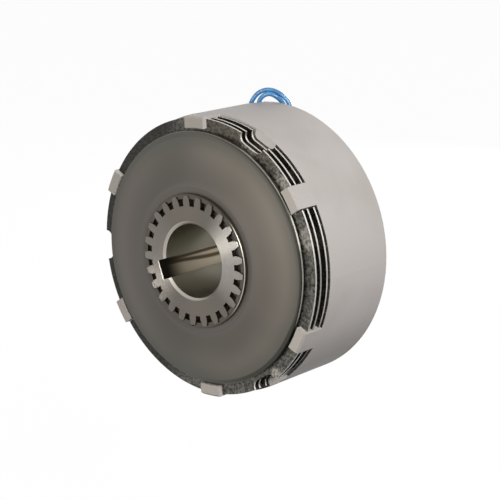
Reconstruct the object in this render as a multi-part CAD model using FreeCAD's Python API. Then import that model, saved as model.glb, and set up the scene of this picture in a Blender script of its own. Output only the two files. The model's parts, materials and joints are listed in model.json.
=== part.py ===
import FreeCAD, Part
import math
import os

# Electromagnetic multiple-disc brake, in millimetres.
# The shaft axis is Y. The rear mounting face lies on the plane y = 0 with its centre at the origin,
# the body reaches forward to negative y, and Z is up.

V = FreeCAD.Vector
AXIS = V(0, 1, 0)

# Magnet body
body_radius = 57.0
body_length = 36.2          # rear face to the pole face
outer_wall = 9.0            # body's outside to the coil groove
coil_space = 13.5           # radial width of the coil groove
rear_wall = 12.0            # rear face to the floor of the coil groove
rear_edge_chamfer = 0.5
shoulder_chamfer = 0.2

# Fingers that hold the outer discs
finger_count = 6
finger_first_deg = 34.4
finger_width = 9.6
finger_thickness = 4.6      # radial
finger_chamfer = 0.8

# Rear mounting interface
register_radius = 26.0
register_depth = 4.0
register_chamfer = 0.5
wall_hole_count = 4
wall_hole_circle_radius = 42.0
wall_hole_radius = 2.5      # tapping drill for M6
wall_hole_depth = 9.5
wall_hole_first_deg = 45.0

# Outer discs, held by the fingers
outer_disc_rim_gap = 0.85   # below the body's outside
outer_disc_bore_gap = 1.7   # outside the hub's teeth
outer_disc_thickness = 1.0
finger_clearance = 0.3
recess_count = 3
recess_first_deg = 64.4
recess_width = 12.2
recess_depth = 3.4
recess_corner_radius = 3.0

# Slots that keep the magnetic flux out of the middle of each disc
flux_slot_count = 6
flux_slot_width = 3.0
flux_slot_span_deg = 44.0

# Inner discs, turned by the hub, and the armature
inner_disc_finger_gap = 1.4
inner_disc_thickness = 1.6
armature_finger_gap = 1.2
armature_thickness = 1.8
armature_chamfer = 0.2
armature_stand_out = 0.2    # armature's face in front of the finger tips
middle_radius = 29.3        # armature's flat middle, which carries the retaining ring
middle_rise = 3.15          # how far the front tapers forward to it
taper_gap = 2.2             # taper's foot to the rim

# Axial gaps of the released pack, from the armature back to the pole face
armature_gap = 0.5
front_pair_gap = 0.15       # each side of inner disc 1
rear_pair_gap = 0.6         # each side of inner disc 2
pole_gap = 0.5

# Hub and its spline
tooth_count = 25
tooth_module = 2.0
tooth_addendum = 1.3
tooth_dedendum = 2.8
tooth_thinning = 0.15       # off each flank, on the pitch circle
pressure_angle_deg = 20.0
first_tooth_deg = 11.2
spline_fit = 0.12           # between the hub's teeth and the discs, all round
hub_bore_radius = 15.0
hub_bore_chamfer = 0.8
hub_tip_chamfer = 0.25
barrel_radius = 21.5
barrel_end_gap = 0.3        # hub's rear end to the register's floor
key_width = 8.0
key_rise = 3.3              # bore to the keyway's flat
key_deg = -158.8

# Bush and retaining rings
running_fit = 0.05
press_gap = 0.02
thrust_gap = 0.1
bush_wall = 2.43
front_ring_rise = 0.8       # ring's outside beyond the teeth
front_ring_thickness = 1.6
front_ring_chamfer = 0.25
front_ring_inset = 0.55     # hub's face to the ring
front_groove_rise = 2.8     # groove's floor above the teeth's roots
front_ring_split = 1.5
rear_ring_rise = 2.9        # ring's outside beyond the barrel
rear_ring_thickness = 1.5
rear_ring_inset = 2.4       # hub's rear end to the ring
rear_groove_depth = 1.2
rear_ring_split = 7.0
rear_ring_hole_radius = 0.9
rear_ring_lug = 1.2         # how far the lugs stand in from the gap's sides
ring_split_deg = 270.0
relief_gap = 0.8            # round the rear ring
cutter_reach = 1.2          # how far cuts run past an outside, as a share of its radius

# Coil
bobbin_wall = 1.0
flange_wall = 1.2
coil_gap = 0.3
coil_front_depth = 1.9      # pole face to the bobbin's front flange
potting_recess = 0.15
splice_room = 4.6           # between the coil groove's floor and the bobbin
wrap_thickness = 0.45
wrap_depth = 1.0            # wrap's outside to the flanges' edge
splice_radius = 1.6
splice_length = 12.0
splice_spacing = 4.4

# Leads
groove_deg = 102.6
groove_width = 11.3
groove_depth = 4.0
seal_setback = 7.5          # body's outside to the seal's outer face
seal_gap = 0.03
lead_hole_radius = 3.5
lead_hole_setback = 5.5     # coil groove's outer wall to the hole's centre
groove_end_gap = 5.0        # hole's centre to the groove's inner end
lead_diameter = 1.9
lead_spacing = 4.4
lead_a_straight = 3.9       # straight stretch out of the seal
lead_b_straight = 3.4
lead_arc_share = 0.45
drawn_seal_radius = 49.5    # the leads' routes are drawn from a seal at this radius, and follow it

# Leads' unseen length, wound up behind the body
wound_x = -10.3
wound_z = 38.5
wound_middle_radius = 11.4
wound_turns_across = 2
wound_a_y = 5.4
wound_pitch = 4.2           # from the first lead's coil to the second's
wound_corner = 0.6
wound_slack = 0.05
tie_width = 2.5
tie_thickness = 0.9
tie_gap = 0.1
tie_deg = 180.0
tie_head = 3.6
tail_length = 12.0          # from under the coil's middle to the bare end
end_radius = 0.6
end_length = 7.0

# Radii that follow from the sizes
coil_outer_radius = body_radius - outer_wall
coil_inner_radius = coil_outer_radius - coil_space
finger_inner_radius = body_radius - finger_thickness
outer_disc_radius = body_radius - outer_disc_rim_gap
inner_disc_radius = finger_inner_radius - inner_disc_finger_gap
armature_radius = finger_inner_radius - armature_finger_gap
flux_slot_radius = (coil_inner_radius + coil_outer_radius) / 2
pitch_radius = tooth_module * tooth_count / 2
tip_radius = pitch_radius + tooth_addendum
root_radius = pitch_radius - tooth_dedendum
outer_disc_bore_radius = tip_radius + outer_disc_bore_gap
front_ring_radius = tip_radius + front_ring_rise
front_groove_radius = root_radius + front_groove_rise
key_depth = hub_bore_radius + key_rise
pole_bore_radius = barrel_radius + running_fit + bush_wall + press_gap
rear_ring_radius = barrel_radius + rear_ring_rise
rear_groove_radius = barrel_radius - rear_groove_depth
relief_radius = rear_ring_radius + relief_gap
lead_hole_place = coil_outer_radius - lead_hole_setback
groove_end_radius = lead_hole_place - groove_end_gap
seal_radius = body_radius - seal_setback

# Places along the shaft that follow from the sizes
disc_thicknesses = 3 * outer_disc_thickness + 2 * inner_disc_thickness
pack_gaps = armature_gap + 2 * front_pair_gap + 2 * rear_pair_gap + pole_gap
finger_length = armature_thickness + disc_thicknesses + pack_gaps - armature_stand_out
pole_y = -body_length
tip_y = pole_y - finger_length

armature_y = tip_y - armature_stand_out
outer_1_y = armature_y + armature_thickness + armature_gap
inner_1_y = outer_1_y + outer_disc_thickness + front_pair_gap
outer_2_y = inner_1_y + inner_disc_thickness + front_pair_gap
inner_2_y = outer_2_y + outer_disc_thickness + rear_pair_gap
outer_3_y = inner_2_y + inner_disc_thickness + rear_pair_gap

armature_front_y = armature_y - middle_rise
front_ring_y = armature_front_y - running_fit - front_ring_thickness
hub_face_y = front_ring_y - front_ring_inset
hub_end_y = -register_depth - barrel_end_gap
bush_front_y = pole_y - thrust_gap
hub_shoulder_y = bush_front_y - running_fit
rear_ring_y = hub_end_y - rear_ring_inset - rear_ring_thickness
bush_rear_y = rear_ring_y - thrust_gap

groove_floor_y = -groove_depth
coil_floor_y = -rear_wall
bobbin_front_y = pole_y + coil_front_depth
bobbin_rear_y = coil_floor_y - splice_room


def polar(radius, degrees, y):
    """Point at a radius and an angle round the shaft axis, counted from +X towards +Z."""
    angle = math.radians(degrees)
    return V(radius * math.cos(angle), y, radius * math.sin(angle))


def turned(profile):
    """Solid of revolution about the shaft axis from (radius, y) points."""
    points = [V(r, y, 0) for r, y in profile]
    face = Part.Face(Part.makePolygon(points + [points[0]]))
    return face.revolve(V(0, 0, 0), AXIS, 360)


def ring(inner, outer, start, length):
    """Plain ring that starts at y = start and runs back."""
    disc = Part.makeCylinder(outer, length, V(0, start, 0), AXIS)
    return disc.cut(Part.makeCylinder(inner, length, V(0, start, 0), AXIS))


def arc_edge(first, middle, last):
    return Part.Arc(first, middle, last).toShape()


def round_arc(radius, start_deg, end_deg, y):
    """Edge along a circle round the shaft axis."""
    middle = (start_deg + end_deg) / 2
    return arc_edge(polar(radius, start_deg, y), polar(radius, middle, y), polar(radius, end_deg, y))


def raised(edges, length):
    """Solid that runs back from a closed outline."""
    return Part.Face(Part.Wire(edges)).extrude(AXIS * length)


def radial_box(width, inner, outer, start, length, degrees):
    """Box across a radius: width is tangential, and inner and outer are distances from the axis."""
    box = Part.makeBox(outer - inner, length, width, V(inner, start, -width / 2))
    box.rotate(V(0, 0, 0), AXIS, -degrees)
    return box


def round_the_axis(shape, count, first_deg):
    """Copies of a shape made at zero degrees, spread evenly round the axis."""
    copies = []
    for k in range(count):
        copy = shape.copy()
        copy.rotate(V(0, 0, 0), AXIS, -(first_deg + k * 360 / count))
        copies.append(copy)
    return copies


def involute_turn(angle):
    return math.tan(angle) - angle


def tooth_half_deg(radius):
    """Half the angle that a tooth spans at a radius, from the involute."""
    base_radius = pitch_radius * math.cos(math.radians(pressure_angle_deg))
    thin = tooth_thinning / pitch_radius
    at_pitch = math.pi / 2 / tooth_count - thin + involute_turn(math.radians(pressure_angle_deg))
    here = math.acos(min(1.0, base_radius / radius))
    return math.degrees(at_pitch - involute_turn(here))


def spline_outline(grow, y):
    """Edges of the toothed outline, made larger by a clearance on every side."""
    root = root_radius + grow
    tip = tip_radius + grow
    middle = (root + tip) / 2

    def half(radius):
        inside = max(radius - grow, root_radius)
        return tooth_half_deg(inside) + math.degrees(grow / radius)

    edges = []
    pitch_deg = 360 / tooth_count
    for k in range(tooth_count):
        here = first_tooth_deg + k * pitch_deg
        rising = [polar(r, here - half(r), y) for r in (root, middle, tip)]
        falling = [polar(r, here + half(r), y) for r in (tip, middle, root)]
        edges.append(arc_edge(*rising))
        edges.append(arc_edge(rising[2], polar(tip, here, y), falling[0]))
        edges.append(arc_edge(*falling))
        next_deg = here + pitch_deg
        foot = polar(root, next_deg - half(root), y)
        edges.append(arc_edge(falling[2], polar(root, here + pitch_deg / 2, y), foot))
    return edges


def splined(grow, start, length):
    return raised(spline_outline(grow, start), length)


def drum():
    """Body without fingers: outer wall, rear wall and inner pole round the coil groove."""
    return turned([
        (pole_bore_radius, pole_y),
        (coil_inner_radius, pole_y),
        (coil_inner_radius, coil_floor_y),
        (coil_outer_radius, coil_floor_y),
        (coil_outer_radius, pole_y),
        (body_radius - shoulder_chamfer, pole_y),
        (body_radius, pole_y + shoulder_chamfer),
        (body_radius, -rear_edge_chamfer),
        (body_radius - rear_edge_chamfer, 0),
        (register_radius + register_chamfer, 0),
        (register_radius, -register_chamfer),
        (register_radius, -register_depth),
        (relief_radius, -register_depth),
        (relief_radius, bush_rear_y),
        (pole_bore_radius, bush_rear_y),
    ])


def fingers():
    """Ring of fingers, each rooted in the body's front shoulder."""
    root_y = pole_y + finger_thickness
    band = turned([
        (finger_inner_radius, root_y),
        (finger_inner_radius, tip_y),
        (body_radius - finger_chamfer, tip_y),
        (body_radius, tip_y + finger_chamfer),
        (body_radius, root_y),
    ])
    blank = radial_box(finger_width, 0, cutter_reach * body_radius, tip_y, root_y - tip_y, 0)
    return [band.common(box) for box in round_the_axis(blank, finger_count, finger_first_deg)]


def lead_groove(shrink, outer):
    """Round-ended groove in the rear face, from its inner end out to a distance from the axis."""
    width = groove_width - 2 * shrink
    centre = groove_end_radius + groove_width / 2
    straight = radial_box(width, centre, outer, groove_floor_y + shrink, groove_depth - shrink, groove_deg)
    end_place = polar(centre, groove_deg, groove_floor_y + shrink)
    return straight.fuse(Part.makeCylinder(width / 2, groove_depth - shrink, end_place, AXIS))


def lead_hole(radius, top_y):
    """Round hole, or the stem that fills it, from the coil groove's floor up to a height."""
    place = polar(lead_hole_place, groove_deg, coil_floor_y)
    return Part.makeCylinder(radius, top_y - coil_floor_y, place, AXIS)


def wall_holes():
    """Blind holes for the screws that hold the brake to the machine's wall."""
    bottom = V(wall_hole_circle_radius, -wall_hole_depth, 0)
    drilled = Part.makeCylinder(wall_hole_radius, wall_hole_depth, bottom, AXIS)
    return round_the_axis(drilled, wall_hole_count, wall_hole_first_deg)


def magnet_body():
    body = drum().fuse(fingers())
    cuts = wall_holes()
    cuts.append(lead_groove(0, cutter_reach * body_radius))
    cuts.append(lead_hole(lead_hole_radius, groove_floor_y))
    return body.cut(cuts).removeSplitter()


def flux_slot():
    """Outline of one arc-shaped slot, at zero degrees, for a disc that starts at y = 0."""
    inner = flux_slot_radius - flux_slot_width / 2
    outer = flux_slot_radius + flux_slot_width / 2
    half = flux_slot_span_deg / 2
    return [
        round_arc(outer, -half, half, 0),
        Part.LineSegment(polar(outer, half, 0), polar(inner, half, 0)).toShape(),
        round_arc(inner, half, -half, 0),
        Part.LineSegment(polar(inner, -half, 0), polar(outer, -half, 0)).toShape(),
    ]


def flux_slots(thickness, first_deg):
    return round_the_axis(raised(flux_slot(), thickness), flux_slot_count, first_deg)


def rim_recess(thickness):
    """Round-cornered recess in a disc's rim, at zero degrees."""
    floor = outer_disc_radius - recess_depth
    block = radial_box(recess_width, floor, cutter_reach * outer_disc_radius, 0, thickness, 0)
    corner = recess_corner_radius
    sides = []
    for side in (-1, 1):
        edge_z = side * (recess_width / 2 - corner)
        low_z = min(edge_z, edge_z + side * corner)
        sides.append(Part.makeBox(corner, thickness, corner, V(floor, 0, low_z)).cut(
            Part.makeCylinder(corner, thickness, V(floor + corner, 0, edge_z), AXIS)))
    return block.cut(sides)


def outer_disc():
    """Outer disc that starts at y = 0, with notches for the fingers."""
    disc = ring(outer_disc_bore_radius, outer_disc_radius, 0, outer_disc_thickness)
    notch_floor = finger_inner_radius - finger_clearance
    width = finger_width + 2 * finger_clearance
    notch = radial_box(width, notch_floor, cutter_reach * body_radius, 0, outer_disc_thickness, 0)
    cuts = round_the_axis(notch, finger_count, finger_first_deg)
    cuts += round_the_axis(rim_recess(outer_disc_thickness), recess_count, recess_first_deg)
    cuts += flux_slots(outer_disc_thickness, finger_first_deg)
    return disc.cut(cuts)


def inner_disc():
    """Inner disc that starts at y = 0, toothed to ride on the hub."""
    disc = Part.makeCylinder(inner_disc_radius, inner_disc_thickness, V(0, 0, 0), AXIS)
    cuts = flux_slots(inner_disc_thickness, finger_first_deg)
    cuts.append(splined(spline_fit, 0, inner_disc_thickness))
    return disc.cut(cuts)


def armature_disc():
    """Armature: a chamfered disc, its front tapered so that it is thicker at its teeth."""
    back_y = armature_y + armature_thickness
    disc = turned([
        (0, armature_front_y),
        (middle_radius, armature_front_y),
        (armature_radius - taper_gap, armature_y),
        (armature_radius - armature_chamfer, armature_y),
        (armature_radius, armature_y + armature_chamfer),
        (armature_radius, back_y - armature_chamfer),
        (armature_radius - armature_chamfer, back_y),
        (0, back_y),
    ])
    return disc.cut(splined(spline_fit, armature_front_y, back_y - armature_front_y))


def hub_teeth():
    """Toothed front of the hub, its tips chamfered and its retaining groove cut."""
    length = hub_shoulder_y - hub_face_y
    teeth = splined(0, hub_face_y, length)
    chamfer = hub_tip_chamfer
    envelope = turned([
        (0, hub_face_y),
        (tip_radius - chamfer, hub_face_y),
        (tip_radius + chamfer, hub_face_y + 2 * chamfer),
        (tip_radius + chamfer, hub_shoulder_y),
        (0, hub_shoulder_y),
    ])
    groove_length = front_ring_thickness + 2 * running_fit
    reach = cutter_reach * tip_radius
    groove = ring(front_groove_radius, reach, front_ring_y - running_fit, groove_length)
    return teeth.common(envelope).cut(groove)


def hub_barrel():
    """Plain rear part of the hub, which runs in the bush."""
    chamfer = hub_tip_chamfer
    return turned([
        (0, hub_shoulder_y),
        (barrel_radius, hub_shoulder_y),
        (barrel_radius, rear_ring_y - running_fit),
        (rear_groove_radius, rear_ring_y - running_fit),
        (rear_groove_radius, rear_ring_y + rear_ring_thickness + running_fit),
        (barrel_radius, rear_ring_y + rear_ring_thickness + running_fit),
        (barrel_radius, hub_end_y - chamfer),
        (barrel_radius - chamfer, hub_end_y),
        (0, hub_end_y),
    ])


def hub_bore():
    """Shaft bore with a chamfer at each end, and the keyway."""
    wide = hub_bore_radius + hub_bore_chamfer
    bore = turned([
        (0, hub_face_y),
        (wide, hub_face_y),
        (hub_bore_radius, hub_face_y + hub_bore_chamfer),
        (hub_bore_radius, hub_end_y - hub_bore_chamfer),
        (wide, hub_end_y),
        (0, hub_end_y),
    ])
    return [bore, radial_box(key_width, 0, key_depth, hub_face_y, hub_end_y - hub_face_y, key_deg)]


def hub():
    return hub_teeth().fuse(hub_barrel()).cut(hub_bore()).removeSplitter()


def hub_front_ring():
    """Split ring in the groove across the hub's teeth, chamfered at the front."""
    body = turned([
        (front_groove_radius + running_fit, front_ring_y),
        (front_ring_radius - front_ring_chamfer, front_ring_y),
        (front_ring_radius, front_ring_y + front_ring_chamfer),
        (front_ring_radius, front_ring_y + front_ring_thickness),
        (front_groove_radius + running_fit, front_ring_y + front_ring_thickness),
    ])
    reach = cutter_reach * front_ring_radius
    gap = radial_box(front_ring_split, 0, reach, front_ring_y, front_ring_thickness, ring_split_deg)
    return body.cut(gap)


def hub_rear_ring():
    """Circlip with two drilled lugs beside its gap."""
    inner = rear_groove_radius + running_fit
    body = ring(inner, rear_ring_radius, rear_ring_y, rear_ring_thickness)
    reach = cutter_reach * rear_ring_radius
    gap = radial_box(rear_ring_split, 0, reach, rear_ring_y, rear_ring_thickness, ring_split_deg)
    eye_radius = (inner + rear_ring_radius) / 2
    eye_side = math.degrees((rear_ring_split / 2 + rear_ring_lug + rear_ring_hole_radius) / eye_radius)
    cuts = [gap]
    for side in (-1, 1):
        place = polar(eye_radius, ring_split_deg + side * eye_side, rear_ring_y)
        cuts.append(Part.makeCylinder(rear_ring_hole_radius, rear_ring_thickness, place, AXIS))
    return body.cut(cuts)


def hub_bush():
    inner = barrel_radius + running_fit
    return ring(inner, pole_bore_radius - press_gap, bush_front_y, bush_rear_y - bush_front_y)


def coil_bobbin():
    """Flanged former that slips over the inner pole."""
    inner = coil_inner_radius + coil_gap
    floor = inner + bobbin_wall
    outer = coil_outer_radius - 2 * coil_gap
    return turned([
        (inner, bobbin_front_y),
        (outer, bobbin_front_y),
        (outer, bobbin_front_y + flange_wall),
        (floor, bobbin_front_y + flange_wall),
        (floor, bobbin_rear_y - flange_wall),
        (outer, bobbin_rear_y - flange_wall),
        (outer, bobbin_rear_y),
        (inner, bobbin_rear_y),
    ])


def wrap_outer():
    return coil_outer_radius - 2 * coil_gap - wrap_depth


def winding_span():
    """Start and length of the space between the bobbin's flanges."""
    start = bobbin_front_y + flange_wall + press_gap
    return start, bobbin_rear_y - flange_wall - press_gap - start


def coil_winding():
    start, length = winding_span()
    inner = coil_inner_radius + coil_gap + bobbin_wall + press_gap
    return ring(inner, wrap_outer() - wrap_thickness - press_gap, start, length)


def coil_wrap():
    start, length = winding_span()
    return ring(wrap_outer() - wrap_thickness, wrap_outer(), start, length)


def coil_potting():
    """Resin that closes the coil groove and runs down between the bobbin and the outer wall."""
    front = pole_y + potting_recess
    inner = coil_inner_radius + press_gap
    outer = coil_outer_radius - press_gap
    skirt = coil_outer_radius - 2 * coil_gap + press_gap
    return turned([
        (inner, front),
        (outer, front),
        (outer, bobbin_rear_y),
        (skirt, bobbin_rear_y),
        (skirt, bobbin_front_y - press_gap),
        (inner, bobbin_front_y - press_gap),
    ])


def coil_splices():
    """Two sleeved joints that lie side by side on the floor of the coil groove."""
    splices = []
    for side in (-1, 1):
        place = V(lead_hole_place + side * splice_spacing / 2, 0, -splice_length / 2)
        place.y = coil_floor_y - splice_radius - press_gap
        splice = Part.makeCylinder(splice_radius, splice_length, place, V(0, 0, 1))
        splice.rotate(V(0, 0, 0), AXIS, -groove_deg)
        splices.append(splice)
    return Part.makeCompound(splices)


def lead_seal():
    """Moulded block in the groove, with a stem down to the coil."""
    stem = lead_hole(lead_hole_radius - seal_gap, groove_floor_y + groove_depth / 2)
    return lead_groove(seal_gap, seal_radius).fuse(stem).removeSplitter()


def lead_start(side, straight):
    """First two points of a lead: at the seal, and straight out. Side is 1 at the left, -1 at the right."""
    outward = polar(1, groove_deg, 0)
    across = V(-outward.z, 0, outward.x)
    leaves = outward * drawn_seal_radius + across * (side * lead_spacing / 2) - AXIS * (groove_depth / 2)
    return [leaves, leaves + outward * straight]


def with_seal(shape):
    """Moves a lead, or what is on it, to where the seal is."""
    shape.translate(polar(seal_radius - drawn_seal_radius, groove_deg, 0))
    return shape


# Route of each lead from there to its coil, chosen by hand
lead_a_points = [
    V(-13.3, -1.7, 55.7),
    V(-10.6, -0.4, 60.0),
    V(-6.4, 1.5, 61.6),
    V(-2.4, 3.4, 60.3),
    V(1.2, 5.1, 57.1),
    V(2.8, 5.4, 52.8),
    V(3.0, 5.0, 48.3),
    V(2.4, 4.5, 43.9),
]
lead_b_points = [
    V(-9.0, -1.9, 55.6),
    V(-7.9, -1.6, 58.4),
    V(-4.9, -0.4, 60.3),
    V(-1.9, 1.1, 59.1),
    V(-0.5, 3.4, 56.5),
    V(0.1, 6.0, 53.0),
    V(1.3, 8.1, 48.8),
    V(2.4, 8.6, 44.3),
]


def lead_path(points, name):
    """Straight runs joined by tangent arcs, each as large as its two runs allow."""
    edges = []
    radii = []
    here = points[0]
    for before, corner, after in zip(points, points[1:], points[2:]):
        back = before - corner
        ahead = after - corner
        half_turn = (math.pi - back.getAngle(ahead)) / 2
        setback = lead_arc_share * min(back.Length, ahead.Length)
        radius = setback / math.tan(half_turn)
        back.normalize()
        ahead.normalize()
        start = corner + back * setback
        end = corner + ahead * setback
        towards = (back + ahead).normalize()
        middle = corner + towards * (radius / math.cos(half_turn) - radius)
        edges.append(Part.LineSegment(here, start).toShape())
        edges.append(arc_edge(start, middle, end))
        radii.append(radius)
        here = end
    edges.append(Part.LineSegment(here, points[-1]).toShape())
    wire = Part.Wire(edges)
    print(name, "length", round(wire.Length, 2), "radii", [round(r, 1) for r in radii])
    return wire


def lead(route, name):
    """Round lead swept along its route."""
    path = lead_path(route, name)
    profile = Part.Wire(Part.makeCircle(lead_diameter / 2, route[0], route[1] - route[0]))
    tube = path.makePipeShell([profile], True, True)
    expected = math.pi * lead_diameter ** 2 / 4 * path.Length
    print(name, "volume over section times length", round(tube.Volume / expected, 4))
    return tube


def wound_half():
    """Half of the wound bundle's width and thickness, with a little slack."""
    return wound_turns_across * lead_diameter / 2 + wound_slack


def tail_place(middle_y):
    """Start of a lead's tail: under the coil's middle, in the outer turn of the rear layer."""
    return V(wound_x, middle_y + lead_diameter / 2, wound_z - wound_middle_radius - lead_diameter / 2)


def wound_coil(middle_y):
    """Outer shape of a lead's coil: a flat ring with bevelled edges, and the tail that leaves it."""
    half = wound_half()
    inner = wound_middle_radius - half
    outer = wound_middle_radius + half
    corner = wound_corner
    coil = turned([
        (inner + corner, middle_y - half),
        (outer - corner, middle_y - half),
        (outer, middle_y - half + corner),
        (outer, middle_y + half - corner),
        (outer - corner, middle_y + half),
        (inner + corner, middle_y + half),
        (inner, middle_y + half - corner),
        (inner, middle_y - half + corner),
    ])
    coil.translate(V(wound_x, 0, wound_z))
    return coil.fuse(Part.makeCylinder(lead_diameter / 2, tail_length, tail_place(middle_y), V(-1, 0, 0)))


def lead_end(middle_y):
    """Bare, tinned end of a lead."""
    place = tail_place(middle_y) - V(tail_length, 0, 0)
    return Part.makeCylinder(end_radius, end_length, place, V(-1, 0, 0))


def lead_tie():
    """Strap round both bundles with its square head on the outside."""
    half = wound_half() + tie_gap
    front = wound_a_y - half
    depth = wound_pitch + 2 * half
    inner = wound_middle_radius - half
    outer = wound_middle_radius + half
    wall = tie_thickness
    strap = Part.makeBox(outer - inner + 2 * wall, depth + 2 * wall, tie_width,
                         V(inner - wall, front - wall, -tie_width / 2))
    strap = strap.cut(Part.makeBox(outer - inner, depth, tie_width, V(inner, front, -tie_width / 2)))
    head_y = front + depth / 2 - tie_head / 2
    head = Part.makeBox(tie_head / 2, tie_head, tie_head, V(outer, head_y, -tie_head / 2))
    tie = strap.fuse(head).removeSplitter()
    tie.rotate(V(0, 0, 0), AXIS, -tie_deg)
    tie.translate(V(wound_x, 0, wound_z))
    return tie


parts = {
    "magnet_body": magnet_body(),
    "coil_bobbin": coil_bobbin(),
    "coil_winding": coil_winding(),
    "coil_wrap": coil_wrap(),
    "coil_potting": coil_potting(),
    "coil_splices": coil_splices(),
    "lead_seal": lead_seal(),
    "hub_bush": hub_bush(),
    "hub": hub(),
    "hub_front_ring": hub_front_ring(),
    "hub_rear_ring": hub_rear_ring(),
    "armature_disc": armature_disc(),
    "lead_a": with_seal(lead(lead_start(1, lead_a_straight) + lead_a_points, "lead_a")),
    "lead_b": with_seal(lead(lead_start(-1, lead_b_straight) + lead_b_points, "lead_b")),
    "lead_a_coil": with_seal(wound_coil(wound_a_y)),
    "lead_b_coil": with_seal(wound_coil(wound_a_y + wound_pitch)),
    "lead_a_end": with_seal(lead_end(wound_a_y)),
    "lead_b_end": with_seal(lead_end(wound_a_y + wound_pitch)),
    "lead_tie": with_seal(lead_tie()),
}

for number, start in enumerate((outer_1_y, outer_2_y, outer_3_y), 1):
    disc = outer_disc()
    disc.translate(V(0, start, 0))
    parts[f"outer_disc_{number}"] = disc

for number, start in enumerate((inner_1_y, inner_2_y), 1):
    disc = inner_disc()
    disc.translate(V(0, start, 0))
    parts[f"inner_disc_{number}"] = disc

os.makedirs("parts", exist_ok=True)
for name, shape in parts.items():
    shape.exportStep(f"parts/{name}.step")
    box = shape.BoundBox
    print(name, "valid" if shape.isValid() else "NOT VALID", len(shape.Solids), "solids",
          [round(v, 2) for v in (box.XMin, box.XMax, box.YMin, box.YMax, box.ZMin, box.ZMax)])
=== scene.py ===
import json
import math

import bpy
from mathutils import Matrix, Vector


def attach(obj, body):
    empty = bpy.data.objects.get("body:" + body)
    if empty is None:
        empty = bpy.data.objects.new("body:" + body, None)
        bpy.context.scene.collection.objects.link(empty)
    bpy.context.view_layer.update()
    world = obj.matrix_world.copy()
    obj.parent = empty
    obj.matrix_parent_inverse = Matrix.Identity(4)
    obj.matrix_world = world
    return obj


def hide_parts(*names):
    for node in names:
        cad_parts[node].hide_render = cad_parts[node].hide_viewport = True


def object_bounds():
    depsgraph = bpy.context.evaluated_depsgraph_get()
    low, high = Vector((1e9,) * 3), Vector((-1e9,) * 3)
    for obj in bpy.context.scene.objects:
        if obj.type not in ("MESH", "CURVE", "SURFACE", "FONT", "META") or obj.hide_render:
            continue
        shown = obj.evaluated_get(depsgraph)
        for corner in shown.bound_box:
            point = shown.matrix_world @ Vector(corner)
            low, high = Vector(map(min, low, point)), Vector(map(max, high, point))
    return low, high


# Looks of an electromagnetic multiple-disc brake. The shaft axis is Y, the front is -Y and Z is up.

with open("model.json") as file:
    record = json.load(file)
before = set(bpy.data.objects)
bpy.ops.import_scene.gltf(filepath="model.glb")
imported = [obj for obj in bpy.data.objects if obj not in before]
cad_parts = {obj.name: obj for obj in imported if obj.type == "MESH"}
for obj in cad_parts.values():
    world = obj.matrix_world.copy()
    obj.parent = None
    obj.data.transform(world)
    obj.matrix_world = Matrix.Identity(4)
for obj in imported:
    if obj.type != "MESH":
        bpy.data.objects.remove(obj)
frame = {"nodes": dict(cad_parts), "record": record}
cadLow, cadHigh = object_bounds()
nodes = frame["nodes"]
mounts = {mount["name"]: mount for mount in frame["record"]["mounts"]}
print("frame loaded:", len(nodes), "nodes")


def frontOf(name):
    # y of a piece's front face
    return min(corner[1] for corner in nodes[name].bound_box)


def rearOf(name):
    return max(corner[1] for corner in nodes[name].bound_box)


# Shader maths

class Signal:
    # a socket's value, so that it can stand in a sum
    def __init__(self, finish, socket):
        self.finish = finish
        self.socket = socket

    def maths(self, operation, *values):
        return self.finish.node("ShaderNodeMath", {"operation": operation}, dict(enumerate(values)))

    def __add__(self, other):
        return self.maths("ADD", self, other)

    def __radd__(self, other):
        return self.maths("ADD", other, self)

    def __sub__(self, other):
        return self.maths("SUBTRACT", self, other)

    def __rsub__(self, other):
        return self.maths("SUBTRACT", other, self)

    def __mul__(self, other):
        return self.maths("MULTIPLY", self, other)

    def __rmul__(self, other):
        return self.maths("MULTIPLY", other, self)

    def __truediv__(self, other):
        return self.maths("DIVIDE", self, other)

    def __rtruediv__(self, other):
        return self.maths("DIVIDE", other, self)

    def __pow__(self, other):
        return self.maths("POWER", self, other)

    def __gt__(self, other):
        return self.maths("GREATER_THAN", self, other)

    def __lt__(self, other):
        return self.maths("LESS_THAN", self, other)


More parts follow.
